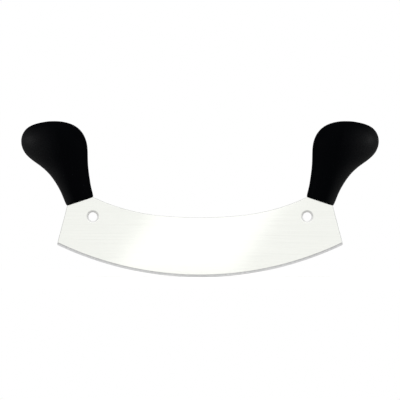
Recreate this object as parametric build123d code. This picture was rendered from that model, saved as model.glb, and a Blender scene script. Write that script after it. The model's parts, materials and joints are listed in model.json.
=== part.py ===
from build123d import *
from math import asin, cos, pi, radians, sin, sqrt, tan
import os

# The knife stands upright on the lowest point of its cutting edge, which is the origin.
# X runs along the blade, Y through its thickness with the front face towards -Y, and Z up.
# All lengths are in millimetres and all angles in degrees.

# Blade: one curved plate, stamped from stainless sheet
blade_thickness = 2.0
edge_radius = 328.0             # arc of the cutting edge
blade_length = 283.0            # between the two tips, before their corners are rounded
blade_depth = 59.0              # from the edge to the spine, at mid-length
end_lean = 14.7                 # angle of the two ends from upright
tip_rounding = 1.4

# Shoulders: the sloping seats at both ends, which the handles stand on
shoulder_height = 70.7          # of the outer corner, above the lowest point of the edge
shoulder_width = 27.0
shoulder_slope = 18.4           # angle from level

# Spine: a shallow arc in the middle, which tightens towards both shoulders
spine_radius = 400.0
spine_middle_length = 80.0
easing = 0.4                    # small chamfer that takes off the sharp corners of the sheet

# Cutting edge: a ground bevel and a narrow honed one below it, alike on both faces
grind_width = 2.1
hone_width = 0.6
hone_thickness = 0.7            # of the blade, where the honed bevel starts
edge_thickness = 0.1            # of the blade, at the very edge

# Hanging holes: one below each shoulder, countersunk on both faces
hole_diameter = 8.6
countersink_width = 1.8
countersink_depth = 0.6
hole_along_shoulder = 20.6      # from the shoulder's outer corner
hole_below_shoulder = 18.2

# Tangs: tongues of the same plate, hidden in the handles, with holes that the plastic fills
tang_width = 14.0
tang_length = 54.0
tang_rounding = 5.0
anchor_hole_diameter = 6.0
anchor_hole_count = 2
anchor_hole_spacing = 20.0
anchor_hole_margin = 12.0       # from the end of the tang to the first hole

# Handle grips: the outer mouldings
handle_height = 79.5            # of the crown, above the middle of the shoulder
handle_reach = 58.4             # of the outermost point, outwards from the middle of the shoulder
grip_overhang_outside = 0.3     # past the shoulder's outer corner
grip_overhang_inside = 0.2      # past the shoulder's inner corner
grip_base_thickness = 21.0
bulb_thickness = 35.0
grip_base_rounding = 1.5
grip_floor = 3.0                # wall between the shoulder and the core

# Handle cores: the stiff first mouldings on the tangs, under the grips
grip_wall = 3.0

# Outline of a handle from the front: places on its two sides, going up, as shares of the reach
# and of the height. The lowest and highest places are worked out.
outer_side_shares = [
    (0.366, 0.168),
    (0.488, 0.308),
    (0.7, 0.455),
    (0.922, 0.59),
    (1.0, 0.748),
    (0.943, 0.879),
    (0.788, 0.958),
    (0.605, 0.991),
]
inner_side_shares = [
    (-0.165, 0.27),
    (-0.131, 0.515),
    (-0.1, 0.761),
    (-0.003, 0.887),
    (0.138, 0.96),
    (0.3, 0.993),
]
crown_share = 0.433
outer_side_lean = 23.0          # angle of the outer side from upright, at the base
inner_side_lean = 12.5

section_count = 16              # cross-sections from the base to the crown
half_section_steps = 12         # round each of them, from the front to the back
core_section_count = 9          # the lowest cross-sections, which the core follows
settled_share = 0.55            # of the way up, where the handle gets its final flatness

cut_overrun = 1.0


def place(x, z):
    """A point in the middle plane of the blade."""
    return Vector(x, 0, z)


# Corners of the right half of the blade
tip = place(blade_length / 2, edge_radius - sqrt(edge_radius**2 - (blade_length / 2) ** 2))
outer_corner = place(tip.X - (shoulder_height - tip.Z) * tan(radians(end_lean)), shoulder_height)
outwards = Vector(cos(radians(shoulder_slope)), 0, -sin(radians(shoulder_slope)))
upwards = Vector(sin(radians(shoulder_slope)), 0, cos(radians(shoulder_slope)))
inner_corner = outer_corner - outwards * shoulder_width
shoulder_middle = (outer_corner + inner_corner) / 2
hole_centre = outer_corner - outwards * hole_along_shoulder - upwards * hole_below_shoulder

spine_turn = asin(spine_middle_length / 2 / spine_radius)
spine_joint = place(spine_middle_length / 2, blade_depth + spine_radius * (1 - cos(spine_turn)))


def across(point):
    """The same point on the other half of the knife."""
    return Vector(-point.X, point.Y, point.Z)


def plate(edges):
    """The flat sheet inside a closed outline, centred on the middle plane."""
    return extrude(make_face(edges), amount=blade_thickness / 2, both=True)


def blade_sheet():
    """The crescent with its two shoulders, eased along the spine and the ends."""
    half_spine = TangentArc(spine_joint, inner_corner, tangent=(cos(spine_turn), 0, sin(spine_turn)))
    right = [half_spine, Line(inner_corner, outer_corner), Line(outer_corner, tip)]
    left = [mirror(edge, about=Plane.YZ) for edge in right]
    cutting_edge = ThreePointArc(across(tip), (0, 0, 0), tip)
    spine = ThreePointArc(across(spine_joint), place(0, blade_depth), spine_joint)
    sheet = plate([cutting_edge, spine, *right, *left])
    tip_corners = sheet.edges().filter_by(Axis.Y).sort_by(Axis.Z)[:2]
    sheet = fillet(tip_corners, tip_rounding)
    return chamfer(sheet.edges().filter_by(is_eased), easing)


def is_eased(edge):
    """True for the face edges of the spine and the ends, not the shoulders or the cutting edge."""
    middle = edge @ 0.5
    on_a_face = abs(abs(middle.Y) - blade_thickness / 2) < blade_thickness / 4
    at_an_end = abs(middle.X) > outer_corner.X
    on_the_spine = abs(middle.X) < inner_corner.X and middle.Z > tip.Z
    return on_a_face and (at_an_end or on_the_spine)


def edge_grinding():
    """What grinding and honing take off the front face: a ring round the cutting edge's centre."""
    steps = [
        (edge_thickness / 2, -cut_overrun),
        (edge_thickness / 2, 0),
        (hone_thickness / 2, hone_width),
        (blade_thickness / 2, hone_width + grind_width),
        (blade_thickness / 2 + cut_overrun, hone_width + grind_width),
        (blade_thickness / 2 + cut_overrun, -cut_overrun),
    ]
    profile = make_face(Polyline(*[(0, -depth, height) for depth, height in steps], close=True))
    return revolve(profile, Axis(place(0, edge_radius), (0, 1, 0)))


def hanging_hole():
    """What the drill and the two countersinks take out of the sheet, on the Y axis."""
    radius = hole_diameter / 2
    face = blade_thickness / 2
    steps = [
        (0, face + cut_overrun),
        (radius + countersink_width, face + cut_overrun),
        (radius + countersink_width, face),
        (radius, face - countersink_depth),
        (radius, countersink_depth - face),
        (radius + countersink_width, -face),
        (radius + countersink_width, -face - cut_overrun),
        (0, -face - cut_overrun),
    ]
    profile = make_face(Polyline(*[(across_hole, depth, 0) for across_hole, depth in steps], close=True))
    return revolve(profile, Axis.Y)


def right_tang():
    """The tongue that stands on the right shoulder, with its anchor holes."""
    root = shoulder_middle - upwards * cut_overrun
    top = shoulder_middle + upwards * tang_length
    side = outwards * tang_width / 2
    tongue = plate(Polyline(root - side, root + side, top + side, top - side, close=True))
    top_corners = tongue.edges().filter_by(Axis.Y).sort_by(Axis(root, upwards))[-2:]
    tongue = fillet(top_corners, tang_rounding)
    for number in range(anchor_hole_count):
        down = anchor_hole_margin + number * anchor_hole_spacing
        drill = Cylinder(anchor_hole_diameter / 2, blade_thickness + cut_overrun, rotation=(90, 0, 0))
        tongue -= Pos(*(top - upwards * down)) * drill
    return tongue


def handle_sides():
    """The outer and the inner side of the right handle's outline, from the base to the crown."""
    half_width = shoulder_width / 2
    crown = shoulder_middle + place(crown_share * handle_reach, handle_height)
    outer = [shoulder_middle + outwards * (half_width + grip_overhang_outside)]
    inner = [shoulder_middle - outwards * (half_width + grip_overhang_inside)]
    outer += [shoulder_middle + place(x * handle_reach, z * handle_height) for x, z in outer_side_shares]
    inner += [shoulder_middle + place(x * handle_reach, z * handle_height) for x, z in inner_side_shares]
    outer_start = (sin(radians(outer_side_lean)), 0, cos(radians(outer_side_lean)))
    inner_start = (sin(radians(inner_side_lean)), 0, cos(radians(inner_side_lean)))
    outer_side = Spline(*outer, crown, tangents=[outer_start, (-1, 0, 0)])
    inner_side = Spline(*inner, crown, tangents=[inner_start, (1, 0, 0)])
    return outer_side, inner_side


def handle_stations():
    """How far up its sides each cross-section lies, closer together towards the crown."""
    return [sin(pi / 2 * number / section_count) for number in range(section_count)]


def handle_sections(wall):
    """Oval cross-sections of the right handle, each as far inside its surface as the wall."""
    outer_side, inner_side = handle_sides()
    stations = handle_stations()
    widths = [(outer_side @ station - inner_side @ station).length for station in stations]
    base_flatness = grip_base_thickness / widths[0]
    bulb_flatness = bulb_thickness / max(widths)
    sections = []
    for station, width in zip(stations, widths):
        settled = min(station / settled_share, 1)
        blend = settled**3 * (10 - 15 * settled + 6 * settled**2)
        flatness = base_flatness + (bulb_flatness - base_flatness) * blend
        middle = (outer_side @ station + inner_side @ station) / 2
        along = (outer_side @ station - inner_side @ station).normalized() * (width / 2 - wall)
        through = Vector(0, width * flatness / 2 - wall, 0)
        turns = [pi * number / half_section_steps for number in range(half_section_steps + 1)]
        outer_points = [middle - through * cos(turn) + along * sin(turn) for turn in turns]
        inner_points = [middle + through * cos(turn) - along * sin(turn) for turn in turns]
        outer_half = Spline(*outer_points, tangents=[along, -along])
        inner_half = Spline(*inner_points, tangents=[-along, along])
        sections.append(Wire([outer_half, inner_half]))
    return sections


def right_grip_form():
    """The whole outside of the right handle, with a rounded rim at its base."""
    outer_side, inner_side = handle_sides()
    form = Solid.make_loft([*handle_sections(0), Vertex(*(outer_side @ 1))])
    base = form.faces().filter_by(GeomType.PLANE)[0]
    return fillet(base.edges(), grip_base_rounding)


def right_core_form():
    """The outside of the right core, which starts above the grip's floor and ends flat."""
    form = Solid.make_loft(handle_sections(grip_wall)[:core_section_count])
    floor = Plane(shoulder_middle + upwards * grip_floor, z_dir=upwards)
    return split(form, bisect_by=floor, keep=Keep.TOP)


def write(shape, node, colour):
    """One file for each separate piece."""
    shape.label = node
    shape.color = Color(colour)
    export_step(shape, f"parts/{node}.step")


os.makedirs("parts", exist_ok=True)

tang = right_tang()
grinding = edge_grinding()
blade = blade_sheet() + tang + mirror(tang, about=Plane.YZ)
blade -= [grinding, mirror(grinding, about=Plane.XZ)]
for centre in (hole_centre, across(hole_centre)):
    blade -= Pos(*centre) * hanging_hole()

core_form = right_core_form()
right_core = core_form - tang
right_grip = right_grip_form() - core_form - tang

write(blade, "blade", "lightgray")
write(right_core, "right_handle_core", "dimgray")
write(right_grip, "right_handle_grip", "black")
write(mirror(right_core, about=Plane.YZ), "left_handle_core", "dimgray")
write(mirror(right_grip, about=Plane.YZ), "left_handle_grip", "black")
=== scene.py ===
import json
from math import copysign, pi, radians

import bmesh
import bpy
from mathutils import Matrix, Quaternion, Vector
from mathutils.bvhtree import BVHTree


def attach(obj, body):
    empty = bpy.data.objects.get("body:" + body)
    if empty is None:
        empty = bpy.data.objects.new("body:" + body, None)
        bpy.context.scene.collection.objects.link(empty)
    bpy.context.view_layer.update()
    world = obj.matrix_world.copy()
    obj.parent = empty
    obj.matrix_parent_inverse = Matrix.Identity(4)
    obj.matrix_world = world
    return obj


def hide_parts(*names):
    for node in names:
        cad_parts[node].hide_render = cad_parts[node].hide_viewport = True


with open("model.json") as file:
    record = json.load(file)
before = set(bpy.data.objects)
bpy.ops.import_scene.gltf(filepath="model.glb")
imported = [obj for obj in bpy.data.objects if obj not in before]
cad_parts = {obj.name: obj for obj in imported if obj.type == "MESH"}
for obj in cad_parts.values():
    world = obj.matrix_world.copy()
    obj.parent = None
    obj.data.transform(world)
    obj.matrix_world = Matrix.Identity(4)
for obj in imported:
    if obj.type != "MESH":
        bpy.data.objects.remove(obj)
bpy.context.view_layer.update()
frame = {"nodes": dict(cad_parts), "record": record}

# Blade. One crescent of stainless sheet, stamped with its two shoulders and tangs and belt-ground
# along its length. The convex edge is ground and then honed, with painted shade fading down the
# bevel. The stamped rims are eased and tumbled dull, and the two hanging holes are countersunk on
# both faces, with painted shade over the top of each rim.

mm = 0.001
blade_thickness = 2.0 * mm
edge_radius = 328.0 * mm
hone_width = 0.6 * mm
grind_width = 2.1 * mm
hole_rim_radius = 6.1 * mm
painted_shade_radius = 6.7 * mm               # round a hole, as far as the painted shade above it reaches
painted_shade_start = -0.1                    # just below the hole's middle, as the sine of the angle from level
blend = 0.03 * mm                   # over which one finish passes into the next

face_light = (0.925, 0.935, 0.89, 1)
face_dark = (0.86, 0.87, 0.825, 1)
# The bevel's greys are partly its duller ground finish and partly painted shade, darkest at the top of
# the grind.
grind_light = (0.72, 0.72, 0.73, 1)
grind_dark_and_shaded = (0.40, 0.40, 0.405, 1)
hone_colour = (0.63, 0.63, 0.64, 1)
turned_light = (0.64, 0.64, 0.63, 1)
turned_dark = (0.40, 0.40, 0.395, 1)
stamped_light = (0.43, 0.43, 0.425, 1)
stamped_dark = (0.22, 0.22, 0.215, 1)
# painted shade, darkening the top of each hole's rim and the sheet just around it
painted_shade_colour = (0.53, 0.53, 0.52, 1)
painted_shade_share = 0.8                     # of the painted shade colour, straight above a hole
line_share = 0.7                    # of the belt's lines in a face's colour, beside the smudges
painted_fade_share = 0.55                   # of the painted shade that fades down the bevel, in its colour, beside the wheel's lines

belt_pitches = (50 * mm, 0.7 * mm, 0.18 * mm)       # along the blade, through it and up it
smudge_pitches = (45 * mm, 20 * mm, 30 * mm)        # the same way
wheel_pitches = (0.4 * mm, 9 * mm, 2 * mm)          # along the edge, away from it and through the blade
turning_pitches = (0.3 * mm, 9 * mm, 9 * mm)        # outwards from the hole, across it and up it
tumbled_pitches = (0.5 * mm, 0.5 * mm, 0.5 * mm)
soft_detail = 2.0                   # finer and finer layers in a noise
scratched_detail = 4.0
usual_low = 0.25                    # noise seldom leaves this range
usual_high = 0.75

line_depth = 0.005 * mm
line_relief = 0.6
wheel_depth = 2                     # of the wheel's lines, as a multiple of the belt's
ground_roughness = 0.09
line_roughness = 0.05               # this and the rest are added to it
smudge_roughness = 0.03
bevel_roughness = 0.15
rim_roughness = 0.22


class Field:
    """A value that varies over a surface. Arithmetic on it adds the Math nodes that work it out."""

    def __init__(self, tree, socket=None):
        self.tree = tree
        self.socket = socket

    def node(self, kind, sockets, output=0, **settings):
        """Any node: its type, the values or links of its sockets, the output wanted, its settings."""
        made = self.tree.nodes.new(kind)
        for name, value in settings.items():
            setattr(made, name, value)
        for name, value in sockets.items():
            if isinstance(value, Field):
                self.tree.links.new(value.socket, made.inputs[name])
            else:
                made.inputs[name].default_value = value
        return Field(self.tree, made.outputs[output] if made.outputs else None)

    def math(self, operation, *others):
        return self.node("ShaderNodeMath", dict(enumerate((self, *others))), operation=operation)

    def __add__(self, other):
        return self.math("ADD", other)

    def __sub__(self, other):
        return self.math("SUBTRACT", other)

    def __rsub__(self, other):
        return self.node("ShaderNodeMath", {0: other, 1: self}, operation="SUBTRACT")

    def __mul__(self, other):
        return self.math("MULTIPLY", other)

    def __truediv__(self, other):
        return self.math("DIVIDE", other)

    def __abs__(self):
        return self.math("ABSOLUTE")

    __radd__ = __add__
    __rmul__ = __mul__

    def rise(self, start, end):
        """0 up to the start and 1 from the end on. An end below the start turns it round."""
        span = {"Value": self, "From Min": start, "From Max": end}
        return self.node("ShaderNodeMapRange", span, interpolation_type="SMOOTHSTEP")

    def spread(self):
        """Noise with more contrast: the range that it usually keeps to becomes 0 to 1."""
        return self.rise(usual_low, usual_high)

    def between(self, low, high):
        """The low value where the field is 0 and the high one where it is 1."""
        return low + self * (high - low)

    def colour(self, low, high):
        """One colour where the field is 0 and the other where it is 1."""
        return self.node("ShaderNodeMix", {0: self, 6: low, 7: high}, output=2, data_type="RGBA")

    def bump(self, strength, depth):
        """The normal of a surface that this field raises by up to the depth."""
        return self.node("ShaderNodeBump", {"Strength": strength, "Distance": depth, "Height": self})


def noise(places, pitches, detail):
    """Noise on three coordinates, each divided by its own pitch."""
    scaled = [place / pitch for place, pitch in zip(places, pitches)]
    vector = scaled[0].node("ShaderNodeCombineXYZ", dict(enumerate(scaled)))
    return vector.node("ShaderNodeTexNoise", {"Vector": vector, "Scale": 1.0, "Detail": detail})


def start_material(name):
    """An empty material, and the object's coordinates in it."""
    material = bpy.data.materials.new(name)
    material.use_nodes = True
    material.node_tree.nodes.clear()
    place = Field(material.node_tree).node("ShaderNodeTexCoord", {}, output="Object")
    axes = [place.node("ShaderNodeSeparateXYZ", {"Vector": place}, output=axis) for axis in range(3)]
    return material, axes


def finish_material(sockets):
    """Wires the shader's sockets to the material's output."""
    tree = sockets["Base Color"].tree
    shader = Field(tree).node("ShaderNodeBsdfPrincipled", sockets)
    shader.node("ShaderNodeOutputMaterial", {"Surface": shader})


def ground_steel():
    """The sheet's finishes, each in its own place: face, bevel, hone, stamped rims, countersinks."""
    material, (x, y, z) = start_material("ground_stainless_steel")
    radius = (x * x + (edge_radius - z) * (edge_radius - z)).math("SQRT")
    from_edge = edge_radius - radius
    along_edge = (x / (edge_radius - z)).math("ARCTANGENT") * edge_radius

    hole_x, _, hole_z = frame["record"]["mounts"][-1]["pos_m"]
    across = abs(x) - abs(hole_x)
    up = z - hole_z
    from_hole = (across * across + up * up).math("SQRT")

    grind_top = hone_width + grind_width
    in_grind = from_edge.rise(grind_top + blend, grind_top - blend)
    in_hone = from_edge.rise(hone_width + blend, hone_width - blend)
    in_hole = from_hole.rise(hole_rim_radius + blend, hole_rim_radius - blend)
    off_faces = abs(y).rise(blade_thickness / 2 - blend, blade_thickness / 2 - 2 * blend)
    in_rim = off_faces * (1 - in_grind)

    belt_lines = noise((x, y, z), belt_pitches, scratched_detail).spread()
    smudges = noise((x, y, z), smudge_pitches, soft_detail)
    wheel_lines = noise((along_edge, from_edge, y), wheel_pitches, scratched_detail).spread()
    turned_lines = noise((from_hole, across, up), turning_pitches, soft_detail).spread()
    tumbled = noise((x, y, z), tumbled_pitches, scratched_detail).spread()

    face = (belt_lines * line_share + smudges * (1 - line_share)).colour(face_dark, face_light)
    # painted shade: the bevel is darkest at the top of the grind and lighter down towards the hone
    painted_shade_down_grind = from_edge.rise(grind_top, hone_width)
    ground_and_shaded_bevel = (painted_shade_down_grind * painted_fade_share + wheel_lines * (1 - painted_fade_share)).colour(grind_dark_and_shaded, grind_light)
    turned = turned_lines.colour(turned_dark, turned_light)
    stamped = tumbled.colour(stamped_dark, stamped_light)
    rim = in_hole.colour(stamped, turned)
    finished = in_rim.colour(in_hone.colour(in_grind.colour(face, ground_and_shaded_bevel), hone_colour), rim)
    # painted shade: darker over the top of each hole's rim, fullest straight above it
    above_hole = (up / from_hole).rise(painted_shade_start, 1.0)
    painted_hole_shade = from_hole.rise(painted_shade_radius, hole_rim_radius) * above_hole * painted_shade_share

    face_height = belt_lines * (1 - in_grind) * (1 - in_rim)
    bevel_height = wheel_lines * in_grind * (1 - in_hone) * wheel_depth
    height = face_height + bevel_height + tumbled * in_rim
    roughness = ground_roughness + belt_lines * line_roughness + smudges * smudge_roughness
    finish_material({
        "Base Color": painted_hole_shade.colour(finished, painted_shade_colour),
        "Metallic": 1.0,
        "Roughness": roughness + in_grind * bevel_roughness + in_rim * rim_roughness,
        "Normal": height.bump(line_relief, line_depth),
    })
    return material


frame["nodes"]["blade"].data.materials[0] = ground_steel()

# Handle cores. Stiff first mouldings of glass-filled nylon on the two tangs, which fill the holes
# in them. The grips hide them: they take the bulk of the handle, so that the grips stay thin.

core_dark = (0.075, 0.075, 0.078, 1)
core_light = (0.12, 0.12, 0.122, 1)
fibre_pitches = (0.6 * mm, 0.6 * mm, 4 * mm)        # longer upwards, the way that the melt flows
grained_detail = 3.0
fibre_depth = 0.03 * mm
fibre_relief = 0.4
nylon_roughness = 0.5
fibre_roughness = 0.2               # added where the fibres lie


def filled_nylon():
    """Dark grey nylon, with glass fibres just under its surface."""
    material, places = start_material("glass_filled_nylon")
    fibres = noise(places, fibre_pitches, grained_detail)
    finish_material({
        "Base Color": fibres.colour(core_dark, core_light),
        "Roughness": nylon_roughness + fibres * fibre_roughness,
        "Normal": fibres.bump(fibre_relief, fibre_depth),
    })
    return material


nylon = filled_nylon()
for side in ("left", "right"):
    frame["nodes"][side + "_handle_core"].data.materials[0] = nylon

# Handle grips. Pear-shaped second mouldings of black polypropylene over the cores, flush on the
# shoulders of the blade. The mould is spark-eroded, which gives them a fine matt grain, and its
# halves meet in the blade's middle plane, where they leave a thin ridge. Palms polish the outside.

weld = 0.002 * mm
clear_of_surface = 5 * weld         # far enough out that a ray misses the face that it starts from
parting_half_width = 0.3 * mm
parting_height = 0.12 * mm
sharp_angle = radians(50)

neck_height = 85 * mm
bulb_height = 125 * mm
neck_touched = 0.15                 # how far a surface faces outwards where a palm starts to touch it
bulb_touched = -0.15
full_press = 0.7                    # how much further outwards it faces where the palm presses fully
ridge_wear = 0.5                    # more than beside the ridge, which stands proud

grip_dark = (0.0005, 0.0006, 0.0009, 1)
grip_light = (0.0010, 0.0012, 0.0017, 1)
grain_share = 0.6                   # of the grain in the colour, beside the clouds
grain_pitches = (0.4 * mm, 0.4 * mm, 0.4 * mm)
cloud_pitches = (22 * mm, 22 * mm, 22 * mm)
grain_depth = 0.08 * mm
grain_relief = 0.7
grain_pits = 0.3                    # in its noise
grain_tops = 0.7
matt_roughness = 0.62
grain_roughness = 0.1               # added on the tops

plain_gloss = 0.014
polished_gloss = 0.19
gloss_roughness = 0.44
least_polish = 0.7                  # in the clouds, as a multiple of what the palm gives
most_polish = 1.3
pit_gloss = 0.4                     # in the grain, as a multiple of the gloss
top_gloss = 1.6


def kept_to_one(value):
    """The value, but no less than 0 and no more than 1."""
    return min(max(value, 0), 1)


def palm_press(vertex):
    """How hard a palm presses on a place: most where it faces outwards, and less where it faces up."""
    outwards = vertex.normal.x * copysign(1, vertex.co.x)
    up_to_bulb = kept_to_one((vertex.co.z - neck_height) / (bulb_height - neck_height))
    touched = neck_touched + (bulb_touched - neck_touched) * up_to_bulb
    return kept_to_one((outwards - touched) / full_press) * (1 - max(vertex.normal.z, 0))


def parted_moulding(node):
    """The grip with the ridge round it. The rest lies lower, so that the ridge keeps its size."""
    form = bmesh.new()
    form.from_mesh(frame["nodes"][node].data)
    palm_wear = form.verts.layers.float.new("palm_wear")
    bmesh.ops.remove_doubles(form, verts=form.verts, dist=weld)
    ridge_lines = (-parting_half_width, 0, parting_half_width)
    for offset in ridge_lines:
        pieces = [*form.verts, *form.edges, *form.faces]
        bmesh.ops.bisect_plane(form, geom=pieces, dist=weld, plane_co=(0, offset, 0), plane_no=(0, 1, 0))
    form.normal_update()
    for edge in form.edges:
        start, end = (corner.co.y for corner in edge.verts)
        on_ridge = any(max(abs(start - offset), abs(end - offset)) < weld for offset in ridge_lines)
        edge.smooth = edge.calc_face_angle(0) < sharp_angle and not on_ridge
    surface = BVHTree.FromBMesh(form)
    for vertex in form.verts:
        on_crest = abs(vertex.co.y) < weld
        vertex[palm_wear] = palm_press(vertex) + ridge_wear * on_crest
        just_above = vertex.co + vertex.normal * clear_of_surface
        outside = surface.ray_cast(just_above, vertex.normal)[0] is None
        if outside and not on_crest:
            # the base faces down, so it hardly moves and stays flush on the shoulder
            vertex.co -= vertex.normal * parting_height * min(1 + vertex.normal.z, 1)
    for face in form.faces:
        face.smooth = True
    mesh = bpy.data.meshes.new(node + "_moulding")
    form.to_mesh(mesh)
    form.free()
    if mesh.has_custom_normals:
        mesh.attributes.remove(mesh.attributes["custom_normal"])
    return mesh


def moulded_plastic():
    """Matt black plastic. All its gloss is in the coat, which is fullest where palms polish it."""
    material, places = start_material("black_moulded_plastic")
    grain = noise(places, grain_pitches, grained_detail)
    clouds = noise(places, cloud_pitches, soft_detail)
    wear = grain.node("ShaderNodeAttribute", {}, output="Fac", attribute_name="palm_wear")
    polished = wear.rise(0, 1) * clouds.between(least_polish, most_polish)
    gloss = polished.between(plain_gloss, polished_gloss)
    on_tops = grain.rise(grain_pits, grain_tops)
    finish_material({
        "Base Color": (grain * grain_share + clouds * (1 - grain_share)).colour(grip_dark, grip_light),
        "Roughness": matt_roughness + grain * grain_roughness,
        "Specular IOR Level": 0.0,
        "Coat Weight": gloss * on_tops.between(pit_gloss, top_gloss),
        "Coat Roughness": gloss_roughness,
        "Normal": grain.bump(grain_relief, grain_depth),
    })
    return material


plastic = moulded_plastic()
for side in ("left", "right"):
    node = side + "_handle_grip"
    grip = bpy.data.objects.new(node + "_moulding", parted_moulding(node))
    grip.data.materials.append(plastic)
    bpy.context.scene.collection.objects.link(grip)
    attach(grip, "root")
    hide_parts(node)

# Studio. A pale floor that turns pure white away from the knife, a white surround, soft lamps, and
# a strip light whose slanted reflection brightens the middle of the blade.

floor_size = 12.0
floor_colour = (0.80, 0.80, 0.79, 1)
shadow_reach = 0.35                 # from the origin, within which the floor shows its shading
fade_reach = 0.8
floor_lift = 0.3                    # towards white, for the camera
mirrored_lift = 0.16                # the same for what the steel mirrors
lighting_strength = 0.7             # of the surround, where it isn't seen directly
white = (1, 1, 1, 1)

lit_middle = (0, 0, 0.08)           # what the softboxes face
top_place = (0, -0.4, 1.6)
top_size = (1.6, 1.2)
top_radiance = 1.0
front_place = (0, -1.3, 0.9)
front_size = (2.2, 0.8)
front_radiance = 0.62
right_place = (1.22, -0.57, 0.22)
side_size = (0.9, 0.8)
side_radiance = 2.0

strip_x = -0.0067
strip_z = 0.0322
strip_distance = 0.3                # in front of the blade
strip_size = (0.106, 0.4)
strip_radiance = 0.20
strip_roll = -34.6                  # degrees

picture_width = 395.8 * mm          # at the blade's middle plane
picture_middle = 76.4 * mm          # its height above the floor
camera_distance = 6.0
sensor_width = 36.0                 # in millimetres, as Blender takes it


def seen_directly(tree, mirrored=1.0):
    """1 for the camera, the given value in glossy and clear surfaces, 0 for what lights the scene."""
    path = Field(tree)
    outputs = ("Is Camera Ray", "Is Glossy Ray", "Is Transmission Ray")
    camera, glossy, clear = (path.node("ShaderNodeLightPath", {}, output=name) for name in outputs)
    return camera.math("MAXIMUM", glossy.math("MAXIMUM", clear) * mirrored)


def studio_floor():
    """Pale and lit near the knife, where it shows the shadow, and plain white further away."""
    material, (x, y, _) = start_material("studio_floor")
    tree = material.node_tree
    distance = (x * x + y * y).math("SQRT")
    far = distance.rise(shadow_reach, fade_reach)
    lift = seen_directly(tree, mirrored_lift / floor_lift) * floor_lift
    plain = x.node("ShaderNodeBsdfDiffuse", {"Color": floor_colour})
    glow = x.node("ShaderNodeEmission", {"Color": white, "Strength": lift})
    lit = x.node("ShaderNodeAddShader", {0: plain, 1: glow})
    pure = x.node("ShaderNodeEmission", {"Color": white, "Strength": 1.0})
    mixed = x.node("ShaderNodeMixShader", {0: far * seen_directly(tree), 1: lit, 2: pure})
    x.node("ShaderNodeOutputMaterial", {"Surface": mixed})
    return material


bpy.ops.mesh.primitive_plane_add(size=floor_size)
floor = bpy.context.object
floor.name = "studio_floor"
floor.data.materials.append(studio_floor())

surround = bpy.data.worlds.new("studio_surround")
surround.use_nodes = True
surround.node_tree.nodes.clear()
strength = seen_directly(surround.node_tree).between(lighting_strength, 1)
backdrop = strength.node("ShaderNodeBackground", {"Color": white, "Strength": strength})
backdrop.node("ShaderNodeOutputWorld", {"Surface": backdrop})
bpy.context.scene.world = surround


def soft_lamp(name, place, target, size, radiance, roll=0):
    """A rectangular softbox that faces its target, rolled about its own axis."""
    light = bpy.data.lights.new(name, "AREA")
    light.shape = "RECTANGLE"
    light.size, light.size_y = size
    light.energy = radiance * pi * size[0] * size[1]
    lamp = bpy.data.objects.new(name, light)
    lamp.location = place
    aim = (Vector(target) - Vector(place)).to_track_quat("-Z", "Y")
    lamp.rotation_euler = (aim @ Quaternion((0, 0, 1), radians(roll))).to_euler()
    lamp.visible_camera = False
    bpy.context.scene.collection.objects.link(lamp)


left_place = (-right_place[0], *right_place[1:])
strip_middle = (strip_x, -strip_distance, strip_z)
strip_target = (strip_x, 0, strip_z)
soft_lamp("top_softbox", top_place, lit_middle, top_size, top_radiance)
soft_lamp("front_softbox", front_place, lit_middle, front_size, front_radiance)
soft_lamp("left_softbox", left_place, lit_middle, side_size, side_radiance)
soft_lamp("right_softbox", right_place, lit_middle, side_size, side_radiance)
soft_lamp("blade_strip", strip_middle, strip_target, strip_size, strip_radiance, strip_roll)

eye = bpy.data.cameras.new("camera")
eye.sensor_width = sensor_width
eye.lens = sensor_width * camera_distance / picture_width
eye.clip_end = 2 * camera_distance
camera = bpy.data.objects.new("camera", eye)
camera.location = (0, -camera_distance, picture_middle)
camera.rotation_euler = (pi / 2, 0, 0)
bpy.context.scene.collection.objects.link(camera)
bpy.context.scene.camera = camera
bpy.context.scene.view_settings.view_transform = "Standard"
